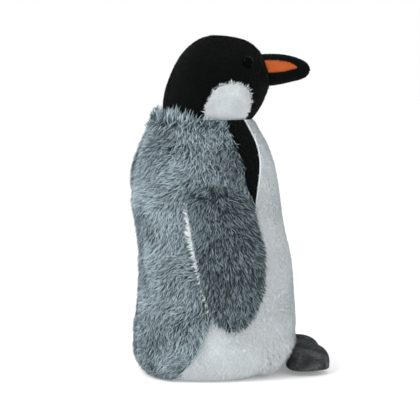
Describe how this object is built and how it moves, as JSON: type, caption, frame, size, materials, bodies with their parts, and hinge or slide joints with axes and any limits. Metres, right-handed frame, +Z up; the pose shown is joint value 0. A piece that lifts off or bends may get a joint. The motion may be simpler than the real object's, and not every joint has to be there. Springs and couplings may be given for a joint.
{
  "type": "plush penguin",
  "caption": "Standing plush penguin with long grey pile on its back and paddle flippers, a white belly, a black head, safety eyes and stuffed feet.",
  "frame": {"origin": "centre of the flat base the toy stands on, under the body's axis", "axes": "+Z up through the body to the crown; -Y to the front, where the beak points; +X to the penguin's own left"},
  "size_m": [0.1628, 0.1792, 0.3044],
  "materials": {
    "grey_pile": "long plush pile with light tips",
    "flipper_pile": "long plush pile, darker than the back",
    "white_pile": "short dense plush pile",
    "black_pile": "short dense plush pile",
    "beak_black": "smooth velboa",
    "beak_orange": "smooth velboa",
    "foot_cloth": "short velboa pile",
    "eye_plastic": "polished",
    "washer_plastic": "matt moulded",
    "stuffing": "polyester fibre",
    "pouch_cloth": "plain woven",
    "pellets": "small smooth beads"
  },
  "bodies": {
    "torso": {"back_panel_left": "grey_pile", "back_panel_right": "grey_pile", "belly_panel": "white_pile", "bib_left": "black_pile", "bib_right": "black_pile", "base_panel": "white_pile", "body_fill": "stuffing", "pellet_pouch": "pouch_cloth", "pellet_charge": "pellets"},
    "head": {"head_side_left": "black_pile", "head_side_right": "black_pile", "cheek_left": "white_pile", "cheek_right": "white_pile", "head_fill": "stuffing", "beak_upper": "beak_black", "beak_lower": "beak_black", "beak_patch_left": "beak_orange", "beak_patch_right": "beak_orange", "beak_fill": "stuffing", "eye_left": "eye_plastic", "eye_right": "eye_plastic", "eye_washer_left": "washer_plastic", "eye_washer_right": "washer_plastic"},
    "flipper_left": {"flipper_outer_left": "flipper_pile", "flipper_lining_left": "white_pile", "flipper_wadding_left": "stuffing"},
    "foot_left": {"foot_upper_left": "foot_cloth", "foot_sole_left": "foot_cloth", "foot_fill_left": "stuffing"},
    "flipper_right": {"flipper_outer_right": "flipper_pile", "flipper_lining_right": "white_pile", "flipper_wadding_right": "stuffing"},
    "foot_right": {"foot_upper_right": "foot_cloth", "foot_sole_right": "foot_cloth", "foot_fill_right": "stuffing"}
  },
  "joints": [
    {"name": "neck_turn", "type": "hinge", "parent": "torso", "child": "head", "pos_m": [0, 0, 0.229], "axis": [0, 0, 1], "range_deg": [-20, 20], "stiffness_Nm_per_rad": 0.35},
    {"name": "flipper_left_lift", "type": "hinge", "parent": "torso", "child": "flipper_left", "pos_m": [0.0606, 0.01, 0.174], "axis": [0, -1, 0], "range_deg": [0, 100]},
    {"name": "flipper_right_lift", "type": "hinge", "parent": "torso", "child": "flipper_right", "pos_m": [-0.0606, 0.01, 0.174], "axis": [0, 1, 0], "range_deg": [0, 100]},
    {"name": "foot_left_fold", "type": "hinge", "parent": "torso", "child": "foot_left", "pos_m": [0.0205, -0.06274, 0.007], "axis": [1, 0, 0], "range_deg": [0, 50]},
    {"name": "foot_right_fold", "type": "hinge", "parent": "torso", "child": "foot_right", "pos_m": [-0.0205, -0.06274, 0.007], "axis": [1, 0, 0], "range_deg": [0, 50]}
  ]
}
